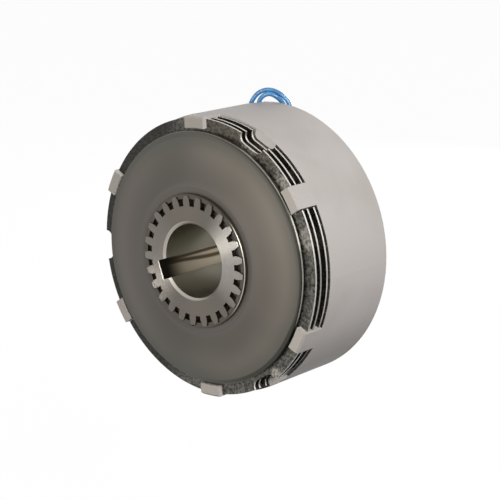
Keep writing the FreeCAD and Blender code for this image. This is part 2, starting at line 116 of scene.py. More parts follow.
class Finish:
    # one material, or the world's look; fixed values go straight to the shader's sockets
    def __init__(self, name, world=False, **fixed):
        self.look = (bpy.data.worlds if world else bpy.data.materials).new(name)
        self.look.use_nodes = True
        self.tree = self.look.node_tree
        self.shader = self.tree.nodes["Background" if world else "Principled BSDF"]
        for key, value in fixed.items():
            self.shader.inputs[key.replace("_", " ")].default_value = value

    def node(self, kind, settings, values, out=0):
        made = self.tree.nodes.new(kind)
        for key, value in settings.items():
            setattr(made, key, value)
        for key, value in values.items():
            self.feed(made.inputs[key], value)
        return Signal(self, made.outputs[out])

    def feed(self, socket, value):
        if isinstance(value, Signal):
            self.tree.links.new(value.socket, socket)
        else:
            socket.default_value = value

    def place(self):
        return self.node("ShaderNodeTexCoord", {}, {}, "Object")

    def split(self, vector):
        made = self.node("ShaderNodeSeparateXYZ", {}, {0: vector})
        outputs = made.socket.node.outputs
        return [Signal(self, outputs[k]) for k in range(3)]

    def join(self, x, y, z):
        return self.node("ShaderNodeCombineXYZ", {}, {0: x, 1: y, 2: z})

    def normal(self):
        return self.node("ShaderNodeNewGeometry", {}, {}, "Normal")

    def between(self, value, low, high, toLow=0.0, toHigh=1.0):
        return self.node("ShaderNodeMapRange", {"interpolation_type": "SMOOTHSTEP"},
                         {0: value, 1: low, 2: high, 3: toLow, 4: toHigh})

    def noise(self, vector, scale, detail=3.0, roughness=0.55):
        return self.node("ShaderNodeTexNoise", {},
                         {"Vector": vector, "Scale": scale, "Detail": detail, "Roughness": roughness})

    def spots(self, vector, scale):
        return self.node("ShaderNodeTexVoronoi", {}, {"Vector": vector, "Scale": scale})

    def blend(self, mask, first, second):
        return self.node("ShaderNodeMix", {"data_type": "RGBA"}, {0: mask, 6: first, 7: second}, 2)

    def bump(self, height, depth, strength=1.0):
        return self.node("ShaderNodeBump", {}, {"Height": height, "Distance": depth, "Strength": strength})

    def give(self, **wires):
        for key, value in wires.items():
            self.feed(self.shader.inputs[key.replace("_", " ")], value)
        return self.look


def tone(red, green, blue):
    # a colour as it is read off a screen, as linear light
    def linear(level):
        level = level / 255
        return level / 12.92 if level <= 0.04045 else ((level + 0.055) / 1.055) ** 2.4
    return (linear(red), linear(green), linear(blue), 1)


def axial(finish):
    # a point on the piece, and its distance from the shaft axis
    x, y, z = finish.split(finish.place())
    return x, y, z, (x * x + z * z) ** 0.5


marksSet = {"around": 1.3, "detail": 2.0, "roughness": 0.6}


def turnedMarks(finish, along, pitch):
    # streaks that run round the shaft: fine across, long around
    x, _, z, radius = axial(finish)
    around = marksSet["around"]
    streak = finish.join(x / radius * around, z / radius * around, along / pitch)
    return finish.noise(streak, 1.0, marksSet["detail"], marksSet["roughness"])


def maxOf(first, second):
    return first.maths("MAXIMUM", first, second)


def sizeOf(value):
    return value.maths("ABSOLUTE", value)


slopeSet = {"flat": 0.9, "bevel": 0.3}   # how square to the shaft axis a face or a chamfer is at least


def squareness(finish):
    # 1 on faces square to the shaft axis, and 0 on faces that stand round it
    return sizeOf(finish.split(finish.normal())[1])


def facing(finish):
    return squareness(finish) > slopeSet["flat"]


def bevelled(finish):
    slope = squareness(finish)
    return (slope > slopeSet["bevel"]) * (slope < slopeSet["flat"])


def upward(finish, limits):
    # how far a wall looks up, between the two limits: -1 is straight down and 1 straight up
    return finish.between(finish.split(finish.normal())[2], *limits)


# Camera and light

cameraSet = {
    "place": (0.41317, -0.49560, 0.16754),
    "aim": (0.02534, -0.0465, 0.00816),    # where the picture's middle falls on the finger tips' plane
    "rollDeg": 0.298,
    "lens": 114.58,
    "sensor": 36,
}

lampSet = [
    # name, place, size, power in watts
    ("keyLamp", (0.85, -0.50, 0.55), 0.50, 12.0),
    ("frontLamp", (0.03, -1.20, 0.17), 0.35, 4.0),
    ("fillLamp", (-0.80, -0.60, 0.30), 0.70, 0.4),
    ("rearLamp", (-0.30, 1.20, 0.15), 0.60, 9.0),
]

skySet = {"shown": 1.0, "light": 0.06}   # brightness where it's seen or mirrored, and as light

floorSet = {"drop": 0.16, "half": 4.0, "grey": 0.05, "shown": 0.97}


def makeCamera(values):
    data = bpy.data.cameras.new("camera")
    data.lens = values["lens"]
    data.sensor_width = values["sensor"]
    camera = bpy.data.objects.new("camera", data)
    place = Vector(values["place"])
    look = (Vector(values["aim"]) - place).to_track_quat("-Z", "Y").to_matrix().to_4x4()
    roll = Matrix.Rotation(math.radians(values["rollDeg"]), 4, "Z")
    camera.matrix_world = Matrix.Translation(place) @ look @ roll
    bpy.context.scene.collection.objects.link(camera)
    bpy.context.scene.camera = camera


def makeLamp(name, place, size, power):
    data = bpy.data.lights.new(name, "AREA")
    data.size = size
    data.energy = power
    lamp = bpy.data.objects.new(name, data)
    lamp.location = place
    lamp.rotation_euler = (-Vector(place)).to_track_quat("-Z", "Y").to_euler()
    bpy.context.scene.collection.objects.link(lamp)


def whiteWhereSeen(finish, dim, shown):
    # full strength for camera, mirror and glass rays, and dim as light on the object
    rays = ("Is Camera Ray", "Is Glossy Ray", "Is Transmission Ray")
    camera, mirror, glass = [finish.node("ShaderNodeLightPath", {}, {}, ray) for ray in rays]
    seen = maxOf(maxOf(camera, mirror), glass)
    return finish.node("ShaderNodeMapRange", {}, {"Value": seen, "To Min": dim, "To Max": shown})


def makeSky(values):
    sky = Finish("studio", world=True, Color=(1, 1, 1, 1))
    strength = whiteWhereSeen(sky, values["light"], values["shown"])
    bpy.context.scene.world = sky.give(Strength=strength)


def makeFloor(values):
    half = values["half"]
    level = cadLow.z - values["drop"]
    mesh = bpy.data.meshes.new("floor")
    corners = [(-half, -half, level), (half, -half, level), (half, half, level), (-half, half, level)]
    mesh.from_pydata(corners, [], [(0, 1, 2, 3)])
    floor = bpy.data.objects.new("floor", mesh)
    bpy.context.scene.collection.objects.link(floor)
    grey = (values["grey"], values["grey"], values["grey"], 1)
    pale = Finish("paleFloor", Base_Color=grey, Roughness=1.0, Specular_IOR_Level=0.0,
                  Emission_Color=(1, 1, 1, 1))
    strength = whiteWhereSeen(pale, 0.0, values["shown"])
    mesh.materials.append(pale.give(Emission_Strength=strength))


makeCamera(cameraSet)
for lampRow in lampSet:
    makeLamp(*lampRow)
makeSky(skySet)
makeFloor(floorSet)
scene = bpy.context.scene
scene.view_settings.view_transform = "Standard"
print("camera, lamps and floor made")


# Finishes
# In a pair of numbers a shade begins at the first and is full at the second. A share is its strength.

bodySet = {
    "light": tone(199, 193, 189),
    "dark": tone(187, 180, 175),
    "cloudScale": 24.0,
    "cloud": (0.35, 0.68),
    # painted shade: walls that look down are darker
    "low": tone(134, 126, 119),
    "lowNormal": (-0.35, -0.95),
    "face": tone(170, 162, 152),
    "faceLit": tone(192, 184, 174),    # painted light: finger tips on the side of the light, and some of it low down
    "litX": (0.0, 0.05),
    "litZ": (-0.02, -0.055),
    "litLow": 0.7,
    "bevel": tone(170, 162, 155),
    "shoulder": tone(198, 192, 187),   # seen through the discs' recesses
    "shoulderY": (-0.040, -0.030),
    "gapDark": tone(34, 30, 25),       # its edge round the last disc, in that disc's shade
    "gapReach": 0.0005,                # how far into a recess the shade comes
    "gapSoft": 0.0002,
    "gapTopZ": (0.0560, 0.0480),       # little of it shows at the top
    "gapTop": 0.25,
    "recessDeg": 64.4,                 # the discs' recesses: direction, half width, floor, corner radius
    "recessHalf": 0.0061,
    "recessFloor": 0.05275,
    "recessCorner": 0.0030,
    "sparkle": tone(212, 206, 200),
    "sparkleGrain": (0.45, 0.75),
    "sparkleShare": 0.18,
    "grainScale": 1500.0,
    "grainDepth": 0.000012,
    "marksPitch": 0.0006,
    "marksDepth": 0.0000075,
    "roughness": 0.48,
    "roughCloud": 0.06,
    "roughMarks": 0.04,
    "holeCircle": mounts["wall_bolts"]["dims"]["pcd_mm"] / 2000,    # radius on which the wall holes lie
    "holeReach": 0.0028,
    "threadPitch": 0.0010,
    "threadDepth": 0.00045,
    # painted shade in the troughs of the holes' threads
    "threadTroughShade": tone(70, 64, 58),
    "threadWave": (0.4, -0.9),
}


def threaded(finish, values):
    # 1 in the walls of the four screw holes, and how far a point stands up a thread's flank there
    x, y, z = finish.split(finish.place())
    holePlace = values["holeCircle"] * math.sqrt(0.5)    # in x and in z, as the holes lie at 45 degrees
    across = sizeOf(x) - holePlace
    up = sizeOf(z) - holePlace
    inHole = ((across * across + up * up) ** 0.5 < values["holeReach"]) * (1 - facing(finish))
    hand = x.maths("SIGN", x) * z.maths("SIGN", z)
    turn = up.maths("ARCTAN2", up, across) * hand
    wave = turn + y * (2 * math.pi / values["threadPitch"])
    return inHole, wave.maths("SINE", wave)


def pastRecess(finish, values):
    # distance beyond the outline of the nearest recess in the discs' rims, and less than 0 inside it
    x, _, z, radius = axial(finish)
    third = z.maths("ARCTAN2", z, x) * 3 - math.radians(3 * values["recessDeg"])
    angle = third.maths("ARCTAN2", third.maths("SINE", third), third.maths("COSINE", third)) / 3
    corner = values["recessCorner"]
    across = sizeOf(radius * angle.maths("SINE", angle)) - (values["recessHalf"] - corner)
    under = (values["recessFloor"] + corner) - radius * angle.maths("COSINE", angle)
    wide, deep = maxOf(across, 0.0), maxOf(under, 0.0)
    inner = across.maths("MINIMUM", maxOf(across, under), 0.0)
    return (wide * wide + deep * deep) ** 0.5 + inner - corner


def bodySteel(values):
    finish = Finish("bodySteel", IOR=1.38)
    x, y, z, radius = axial(finish)
    cloud = finish.between(finish.noise(finish.place(), values["cloudScale"]), *values["cloud"])
    grain = finish.noise(finish.place(), values["grainScale"], detail=2.0)
    marks = turnedMarks(finish, y, values["marksPitch"])
    flat = facing(finish)
    side = finish.blend(cloud, values["dark"], values["light"])
    # painted shade on walls that look down
    side = finish.blend(upward(finish, values["lowNormal"]), side, values["low"])
    # painted light on the faces towards the light
    lit = maxOf(finish.between(x, *values["litX"]), finish.between(z, *values["litZ"]) * values["litLow"])
    face = finish.blend(lit, values["face"], values["faceLit"])
    colour = finish.blend(flat, side, face)
    colour = finish.blend(bevelled(finish), colour, values["bevel"])
    shoulderFrom, shoulderTo = values["shoulderY"]
    shoulder = flat * (y > shoulderFrom) * (y < shoulderTo) * (radius > values["recessFloor"])
    colour = finish.blend(shoulder, colour, values["shoulder"])
    shadeTo = -values["gapReach"]
    shade = finish.between(pastRecess(finish, values), shadeTo - values["gapSoft"], shadeTo)
    shade = shade * finish.between(z, *values["gapTopZ"], values["gapTop"], 1.0)
    colour = finish.blend(shoulder * shade, colour, values["gapDark"])
    sparkle = finish.between(grain, *values["sparkleGrain"]) * values["sparkleShare"]
    colour = finish.blend(sparkle, colour, values["sparkle"])
    inHole, thread = threaded(finish, values)
    # painted shade in the thread troughs
    trough = inHole * finish.between(thread, *values["threadWave"])
    colour = finish.blend(trough, colour, values["threadTroughShade"])
    roughness = values["roughness"] + (cloud - 0.5) * values["roughCloud"]
    roughness = roughness + (marks - 0.5) * values["roughMarks"]
    height = (marks * values["marksDepth"] + grain * values["grainDepth"]) * (1 - inHole)
    height = height + inHole * thread * (values["threadDepth"] / 2)
    return finish.give(Base_Color=colour, Roughness=roughness, Normal=finish.bump(height, 1.0, strength=0.6))


armatureSet = {
    "shadedSide": tone(88, 85, 79),
    "litSide": tone(116, 109, 100),       # painted light: lighter towards the light, with a cloudy border
    "litSidePerMetre": 8.0,
    "litSideCloud": 0.9,
    "litSideAt": (0.20, 0.85),
    "cloudScale": 20.0,
    # painted light: the left side a little lighter
    "left": tone(110, 101, 95),
    "leftX": (-0.015, -0.042),
    "leftShare": 0.5,
    "inner": tone(80, 76, 71),
    "innerRadius": (0.045, 0.034),
    "innerShare": 0.4,
    "dull": tone(70, 62, 53),          # darker, browner and duller round the ring
    "dullRadius": (0.0325, 0.0300),
    "dullShare": 0.55,
    "line": tone(66, 62, 56),          # fine line round the middle
    "lineRadius": 0.0293,
    "lineOff": (0.0003, 0.0001),
    "lineShare": 0.5,
    "ringShade": tone(44, 40, 34),     # at the foot of the retaining ring
    "ringShadeRadius": (0.0275, 0.0272),
    # painted shade: a soft darker band towards the rim
    "rim": tone(84, 84, 77),
    "rimRadius": (0.0430, 0.0512),
    "rimShare": 0.7,
    "rimShadeLine": tone(54, 54, 46),       # painted shade: a dark line just inside the rim, wider low down
    "rimLineRadius": (0.0499, 0.0506),
    "rimLineX": (-0.01, 0.03),
    "rimLineShare": 0.85,
    "rimLineLow": 0.0007,
    "rimLineLowZ": (-0.012, -0.022),
    "edge": tone(238, 234, 225),       # painted highlight: a bright strip round the edge, with painted shade in front of it and behind
    "edgeAhead": (0.0005, 0.0013),     # how far in front of the rear face it lies
    "edgeLow": tone(156, 157, 148),
    "edgeNormal": (0.20, 0.30),
    "edgeShade": tone(44, 42, 37),
    "edgeUnder": tone(34, 32, 28),
    "underNormal": (-0.26, -0.42),
    "edgeFront": tone(42, 41, 35),
    "edgeFrontAhead": 0.0016,
    "edgeTop": tone(92, 87, 79),       # painted shade where it looks up, behind a painted light line
    "topNormal": (0.42, 0.62),
    "topLine": tone(168, 161, 149),
    "topLineAhead": 0.0011,
    "topLineNormal": (0.99, 0.85),
    "bevel": tone(96, 92, 85),
    "darkBevelX": (0.015, 0.035),
    "outside": 0.050,                  # radius beyond which a wall is the outer one
    "hole": tone(104, 99, 91),
    "holeRadius": 0.030,
    "marksPitch": 0.0004,
    "marksDepth": 0.00001,
    "roughness": 0.36,
    "roughMarks": 0.10,
    "roughCloud": 0.06,
    "roughRingAndEdgeStrip": 0.15,
    "metal": 0.9,
    "metalLessAtEdge": 0.8,
    "metalLessWhereDull": 0.5,
}


def armatureSteel(values):
    finish = Finish("armatureSteel", IOR=1.8)
    x, y, z, radius = axial(finish)
    cloud = finish.noise(finish.place(), values["cloudScale"], detail=2.0)
    marks = turnedMarks(finish, radius, values["marksPitch"])
    flat = facing(finish)
    # painted light: lighter on the side towards the light
    litSide = finish.between(x * values["litSidePerMetre"] + cloud * values["litSideCloud"], *values["litSideAt"])
    colour = finish.blend(litSide, values["shadedSide"], values["litSide"])
    # painted light on the left side
    left = finish.between(x, *values["leftX"])
    colour = finish.blend(left * values["leftShare"], colour, values["left"])
    inner = finish.between(radius, *values["innerRadius"])
    colour = finish.blend(inner * values["innerShare"], colour, values["inner"])
    line = finish.between(sizeOf(radius - values["lineRadius"]), *values["lineOff"])
    colour = finish.blend(line * values["lineShare"], colour, values["line"])
    # painted shade towards the rim, and a painted dark line just inside it
    rim = finish.between(radius, *values["rimRadius"])
    colour = finish.blend(rim * values["rimShare"], colour, values["rim"])
    widened = radius + finish.between(z, *values["rimLineLowZ"]) * values["rimLineLow"]
    rimShadeLine = finish.between(widened, *values["rimLineRadius"]) * finish.between(x, *values["rimLineX"])
    colour = finish.blend(rimShadeLine * values["rimLineShare"], colour, values["rimShadeLine"])

    # painted light and shade on the outer wall: a bright strip, dimmer low down, painted shade in front of
    # it, behind it and underneath, and at the top a painted light line
    ahead = rearOf("armature_disc") - y
    wall = finish.blend(upward(finish, values["edgeNormal"]), values["edgeLow"], values["edge"])
    under = upward(finish, values["underNormal"])
    stripFrom, stripTo = values["edgeAhead"]
    strip = (ahead > stripFrom) * (ahead < stripTo) * (1 - under)
    wall = finish.blend(strip, finish.blend(under, values["edgeShade"], values["edgeUnder"]), wall)
    top = upward(finish, values["topNormal"])
    topLine = (ahead > values["topLineAhead"]) * upward(finish, values["topLineNormal"])
    wall = finish.blend(top, wall, finish.blend(topLine, values["edgeTop"], values["topLine"]))
    wall = finish.blend(ahead > values["edgeFrontAhead"], wall, values["edgeFront"])
    wall = finish.blend(radius > values["holeRadius"], values["hole"], wall)
    colour = finish.blend(flat, wall, colour)
    # painted shade on the outer chamfer on the right
    darkBevel = (radius > values["outside"]) * finish.between(x, *values["darkBevelX"])
    bevel = finish.blend(darkBevel, values["bevel"], values["edgeFront"])
    colour = finish.blend(bevelled(finish), colour, bevel)

    foot = finish.between(radius, *values["ringShadeRadius"])
    colour = finish.blend(foot * flat, colour, values["ringShade"])
    dull = finish.between(radius, *values["dullRadius"])
    colour = finish.blend(dull * values["dullShare"], colour, values["dull"])
    # pale marks where the painted highlight lies on the outer wall
    pale = (1 - flat) * (radius > values["outside"]) * (strip * (1 - top) + topLine * top)
    metal = values["metal"] - pale * values["metalLessAtEdge"] - dull * values["metalLessWhereDull"]
    roughness = values["roughness"] + (cloud - 0.5) * values["roughCloud"]
    roughness = roughness + (marks - 0.5) * values["roughMarks"] + (dull + pale) * values["roughRingAndEdgeStrip"]
    return finish.give(Base_Color=colour, Metallic=metal, Roughness=roughness,
                       Normal=finish.bump(marks * flat, values["marksDepth"], strength=0.4))


outerSet = {
    "dark": tone(46, 44, 40),
    "light": tone(120, 117, 109),
    "speckleScale": 850.0,
    "speckle": (0.34, 0.70),
    "cellScale": 900.0,
    "cloudScale": 120.0,
    "shade": tone(28, 27, 24),         # the left side lies in the armature's shade
    "shadeX": (-0.005, -0.025),
    "shadeShare": 0.8,
    "brown": tone(70, 62, 46),         # darker and browner at the top
    "brownZ": (0.038, 0.050),
    "brownX": (-0.005, 0.005),
    "brownShare": 0.4,
    "patch": tone(176, 171, 161),
    "patches": [                       # x, z and reach of the pale patches
        (0.0520, 0.0165, 0.0050),
        (0.0235, 0.0485, 0.0060),
        (0.0390, 0.0375, 0.0050),
        (0.0370, -0.0400, 0.0045),
    ],
    "patchDrift": 0.012,               # how ragged their borders are
    "patchFull": 0.4,
    "patchShare": (0.15, 0.85),        # in the dark and in the light speckles
    "fronts": [frontOf("outer_disc_1"), frontOf("outer_disc_2"), frontOf("outer_disc_3")],
    "thickness": 0.0012,               # a little more than a disc's own
    "spare": 0.0004,                   # added in front of a disc
    "hidden": tone(24, 20, 16),        # painted shade on the faces of the second and third disc
    "hiddenShare": 0.45,
    # painted highlight on the discs' edges, with painted shade underneath
    "edge": tone(244, 240, 231),
    "edgeNormal": (0.05, 0.30),
    "edgeLow": tone(196, 192, 184),    # painted highlight, dimmer on edges that look down
    "edgeTop": tone(218, 213, 204),    # painted highlight on edges that look up
    "topNormal": (0.35, 0.80),
    "edgeUnder": tone(144, 139, 131),
    "underNormal": (-0.15, -0.50),
    "middle": tone(124, 118, 110),     # painted shade low down on the second disc
    "middleNormal": (0.40, 0.0),
    "middleShare": 0.8,
    "rear": tone(62, 58, 51),          # the rear of each edge, in the next disc's shade
    "rearFrom": 0.00078,
    "grainDepth": 0.00004,
    "roughness": 0.40,
    "roughSpeckle": 0.25,
    "roughLessAtEdge": 0.1,
    "metal": 0.85,
    "metalLessAtEdge": 0.75,
}


def outerDiscSteel(values):
    finish = Finish("outerDiscSteel", IOR=1.8)
    place = finish.place()
    x, y, z = finish.split(place)
    cell = finish.spots(place, values["cellScale"])
    cloud = finish.noise(place, values["cloudScale"], detail=2.0)
    speckle = finish.noise(place, values["speckleScale"], detail=4.0, roughness=0.75)
    speckle = finish.between(speckle, *values["speckle"])
    colour = finish.blend(speckle, values["dark"], values["light"])
    shade = finish.between(x, *values["shadeX"])
    colour = finish.blend(shade * values["shadeShare"], colour, values["shade"])
    brown = finish.between(z, *values["brownZ"]) * finish.between(x, *values["brownX"])
    colour = finish.blend(brown * values["brownShare"], colour, values["brown"])
    inDark, inLight = values["patchShare"]
    for patchX, patchZ, reach in values["patches"]:
        across = x - patchX
        up = z - patchZ
        away = (across * across + up * up) ** 0.5 + (cloud - 0.5) * values["patchDrift"]
        patch = finish.between(away, reach, reach * values["patchFull"])
        colour = finish.blend(patch * (inDark + speckle * (inLight - inDark)), colour, values["patch"])
    secondFrom = values["fronts"][1] - values["spare"]
    secondTo = values["fronts"][1] + values["thickness"]
    # painted shade on the faces of the second and third disc
    colour = finish.blend((y > secondFrom) * values["hiddenShare"], colour, values["hidden"])

    # painted highlight and painted shade on the discs' edges
    wall = finish.blend(upward(finish, values["edgeNormal"]), values["edgeLow"], values["edge"])
    wall = finish.blend(upward(finish, values["topNormal"]), wall, values["edgeTop"])
    wall = finish.blend(upward(finish, values["underNormal"]), wall, values["edgeUnder"])
    middle = (y > secondFrom) * (y < secondTo) * upward(finish, values["middleNormal"])
    wall = finish.blend(middle * values["middleShare"], wall, values["middle"])
    rear = 0.0
    for front in values["fronts"]:
        rear = rear + (y > front + values["rearFrom"]) * (y < front + values["thickness"])
    wall = finish.blend(rear, wall, values["rear"])
    edge = 1 - facing(finish)
    colour = finish.blend(edge, colour, wall)
    metal = values["metal"] - edge * (1 - rear) * values["metalLessAtEdge"]
    roughness = values["roughness"] + (speckle - 0.5) * values["roughSpeckle"]
    roughness = roughness - edge * values["roughLessAtEdge"]
    return finish.give(Base_Color=colour, Metallic=metal, Roughness=roughness,
                       Normal=finish.bump((cell + speckle) * (1 - edge), values["grainDepth"], strength=0.5))


innerSet = {
    "dark": tone(92, 90, 86),
    "light": tone(122, 119, 113),
    "grind": (0.35, 0.65),
    "grindScale": (1500, 60, 60),
    "wall": tone(150, 146, 138),
    "roughness": 0.3,
    "roughGrind": 0.2,
    "grindDepth": 0.00001,
}


def innerDiscSteel(values):
    finish = Finish("innerDiscSteel", Metallic=0.85, IOR=1.8)
    stretched = finish.node("ShaderNodeMapping", {}, {0: finish.place(), 3: values["grindScale"]})
    grind = finish.noise(stretched, 1.0)
    colour = finish.blend(finish.between(grind, *values["grind"]), values["dark"], values["light"])
    colour = finish.blend(facing(finish), values["wall"], colour)
    return finish.give(Base_Color=colour, Roughness=values["roughness"] + grind * values["roughGrind"],
                       Normal=finish.bump(grind, values["grindDepth"], strength=0.4))


hubSet = {
    "face": tone(108, 102, 95),
    # painted highlight: fans of light on the turned face
    "fanHighlight": tone(156, 151, 144),
    "fans": [                          # direction in degrees, cosine where it begins, strength
        (12.0, 0.55, 0.95),
        (184.0, 0.50, 0.32),
    ],
    "fanShare": 0.70,
    "fanMarks": 0.5,
    "faceY": frontOf("hub"),
    "facePitch": 0.00030,
    "faceSlope": 0.55,
    "driftScale": 300.0,               # unevenness of the turned grooves
    "driftStretch": 3,
    "drift": 12.0,
    "flank": tone(112, 104, 94),
    "barrel": tone(150, 146, 138),
    "rootRadius": 0.0220,
    "tipRadius": 0.0255,
    "mouth": tone(168, 162, 153),      # painted highlight on the chamfer of the bore
    "chamfer": 0.0008,
    "lip": 0.0003,                     # how far the painted highlight goes on round it
    "lipX": (0.004, -0.006),
    "bore": tone(156, 152, 138),
    # painted shade: darker deeper in the bore
    "boreDeepShade": tone(112, 108, 97),
    "boreDepth": (0.004, 0.034),
    "boreRadius": mounts["hub_bore"]["dims"]["r_mm"] / 1000,
    "boreSpare": 0.0003,               # added outside the bore
    "keyRadius": 0.0190,
    "keyPlace": mounts["hub_keyway"]["pos_m"],
    "keyMouth": tone(30, 28, 20),
    "keyMouthDepth": (0.015, 0.003),
    "keyDeep": tone(166, 152, 130),
    "keyClouds": (90, 20, 90),
    "keyStreak": tone(62, 48, 28),
    "streaks": [                       # off the keyway's middle at its mouth and deep inside, and reach
        (-0.0030, -0.0030, 0.0010),
        (-0.0019, -0.0001, 0.0012),
    ],
    "streakFull": 0.3,
    "streakShare": 0.9,
    "keyEdge": tone(222, 216, 206),    # painted highlight: a bright line at its mouth
    "keyEdgeRadius": (0.0181, 0.0188),
    "keyHalf": 0.0040,
    "marksPitch": 0.0003,
    "borePitch": 0.0005,
    "boreMarksDepth": 0.00001,
    "roughness": 0.32,
    "roughMarks": 0.15,
    "roughInKey": 0.08,
}


def outward(finish):
    # direction away from the shaft axis, as it stands in the room
    x, _, z, radius = axial(finish)
    return finish.node("ShaderNodeVectorTransform",
                       {"vector_type": "VECTOR", "convert_from": "OBJECT", "convert_to": "WORLD"},
                       {0: finish.join(x / radius, 0.0, z / radius)})


def brushedRound(finish, values):
    # normal of a turned face: its fine grooves lean in and out along the radius
    x, _, z, radius = axial(finish)
    drift = finish.noise(finish.join(x, radius * values["driftStretch"], z), values["driftScale"], detail=2.0)
    turns = radius * (2 * math.pi / values["facePitch"]) + drift * values["drift"]
    lean = finish.node("ShaderNodeVectorMath", {"operation": "SCALE"},
                       {0: outward(finish), "Scale": turns.maths("SINE", turns) * values["faceSlope"]})
    leaning = finish.node("ShaderNodeVectorMath", {"operation": "ADD"}, {0: finish.normal(), 1: lean})
    return finish.node("ShaderNodeVectorMath", {"operation": "NORMALIZE"}, {0: leaning})


def fanHighlight(finish, values):
    # painted highlight: the fans of light that a turned face throws back
    both = 0.0
    for degrees, start, strength in values["fans"]:
        angle = math.radians(degrees)
        along = finish.node("ShaderNodeVectorMath", {"operation": "DOT_PRODUCT"},
                            {0: outward(finish), 1: (math.cos(angle), 0.0, math.sin(angle))}, "Value")
        both = both + finish.between(along, start, 1.0) * strength
    return both


def keywayColour(finish, values, x, y, z, depth, side):
    # walls of the keyway: cloudy, with two dark streaks that run in, and dark at the mouth
    stretchX, stretchY, stretchZ = values["keyClouds"]
    clouds = finish.noise(finish.join(y * stretchY, x * stretchX, z * stretchZ), 1.0)
    colour = finish.blend(clouds, values["keyDeep"], values["bore"])
    for atMouth, atDepth, reach in values["streaks"]:
        off = sizeOf(side - atMouth - depth * (atDepth - atMouth))
        streak = finish.between(off, reach, reach * values["streakFull"])
        colour = finish.blend(streak * values["streakShare"], colour, values["keyStreak"])
    mouthFrom, mouthTo = values["keyMouthDepth"]
    mouth = finish.between(y, values["faceY"] + mouthFrom, values["faceY"] + mouthTo)
    return finish.blend(mouth, colour, values["keyMouth"])


def hubSteel(values):
    finish = Finish("hubSteel", Metallic=1.0)
    x, y, z, radius = axial(finish)
    flat = facing(finish)
    chamfer = bevelled(finish)
    marks = turnedMarks(finish, radius, values["marksPitch"])
    along = turnedMarks(finish, y, values["borePitch"])
    wall = finish.blend(radius > values["rootRadius"], values["barrel"], values["flank"])
    # painted highlight: fans of light on the turned face
    fanShare = fanHighlight(finish, values) * (values["fanShare"] + marks * values["fanMarks"])
    face = finish.blend(fanShare, values["face"], values["fanHighlight"])
    colour = finish.blend(flat, wall, face)
    # painted shade deeper in the bore
    deepFrom, deepTo = values["boreDepth"]
    depth = finish.between(y, values["faceY"] + deepFrom, values["faceY"] + deepTo)
    boreTo = values["boreRadius"] + values["boreSpare"]
    bore = (radius < boreTo) * (1 - flat)
    colour = finish.blend(bore, colour, finish.blend(depth, values["bore"], values["boreDeepShade"]))

    # along the keyway's middle, outwards, and across it
    keyAngle = math.atan2(values["keyPlace"][2], values["keyPlace"][0])
    out = x * math.cos(keyAngle) + z * math.sin(keyAngle)
    side = z * math.cos(keyAngle) - x * math.sin(keyAngle)
    key = (radius > boreTo) * (radius < values["keyRadius"]) * (1 - flat)
    colour = finish.blend(key, colour, keywayColour(finish, values, x, y, z, depth, side))
    # painted highlight on the bore's chamfer, and on a lip beyond it on the left
    lipRadius = values["boreRadius"] + values["chamfer"] + values["lip"]
    lip = flat * (radius < lipRadius) * finish.between(x, *values["lipX"])
    colour = finish.blend(lip + chamfer * (radius < values["keyRadius"]), colour, values["mouth"])
    # painted highlight at the keyway's mouth
    edgeFrom, edgeTo = values["keyEdgeRadius"]
    keyEdge = flat * (out > edgeFrom) * (out < edgeTo) * (sizeOf(side) < values["keyHalf"])
    colour = finish.blend(keyEdge, colour, values["keyEdge"])
    colour = finish.blend(chamfer * (radius > values["tipRadius"]), colour, face)
    roughness = values["roughness"] + (marks - 0.5) * values["roughMarks"] * flat + key * values["roughInKey"]
    boreMarks = finish.bump(along * (1 - key), values["boreMarksDepth"])
    turned = finish.blend(flat, boreMarks, brushedRound(finish, values))
    return finish.give(Base_Color=colour, Roughness=roughness, Normal=turned)


ringSet = {
    "side": tone(96, 91, 84),
    "face": tone(88, 84, 77),
    "edgeDark": tone(62, 59, 54),
    "edgeLight": tone(178, 172, 162),  # painted highlight: the edge is bright on the side of the light
    "lightNormal": (0.46, 0.66),
    "marksPitch": 0.0004,
    "marksDepth": 0.00001,
    "roughness": 0.28,
    "roughMarks": 0.15,
}


def ringSteel(values):
    finish = Finish("ringSteel", Metallic=1.0)
    radius = axial(finish)[3]
    marks = turnedMarks(finish, radius, values["marksPitch"])
    colour = finish.blend(facing(finish), values["side"], values["face"])
    # painted highlight on the edge on the side of the light
    towards = finish.between(finish.split(finish.normal())[0], *values["lightNormal"])
    edge = finish.blend(towards, values["edgeDark"], values["edgeLight"])
    colour = finish.blend(bevelled(finish), colour, edge)
    return finish.give(Base_Color=colour, Roughness=values["roughness"] + marks * values["roughMarks"],
                       Normal=finish.bump(marks, values["marksDepth"], strength=0.5))


metalShared = {"marks": (0.3, 0.7), "marksDepth": 0.00002, "roughMarks": 0.1}

mouldedShared = {"cloudPerGrain": 0.125, "cloud": (0.35, 0.7), "roughGrain": 0.15}


def plainMetal(shared, name, dark, light, roughness, pitch):
    finish = Finish(name, Metallic=1.0)
    _, y, _, radius = axial(finish)
    marks = turnedMarks(finish, y + radius, pitch)
    colour = finish.blend(finish.between(marks, *shared["marks"]), dark, light)
    return finish.give(Base_Color=colour, Roughness=roughness + marks * shared["roughMarks"],
                       Normal=finish.bump(marks, shared["marksDepth"], strength=0.5))


def moulded(shared, name, dark, light, roughness, scale, depth):
    finish = Finish(name)
    cloud = finish.noise(finish.place(), scale * shared["cloudPerGrain"], detail=2.0)
    grain = finish.noise(finish.place(), scale)
    colour = finish.blend(finish.between(cloud, *shared["cloud"]), dark, light)
    return finish.give(Base_Color=colour, Roughness=roughness + (grain - 0.5) * shared["roughGrain"],
                       Normal=finish.bump(grain, depth, strength=0.5))


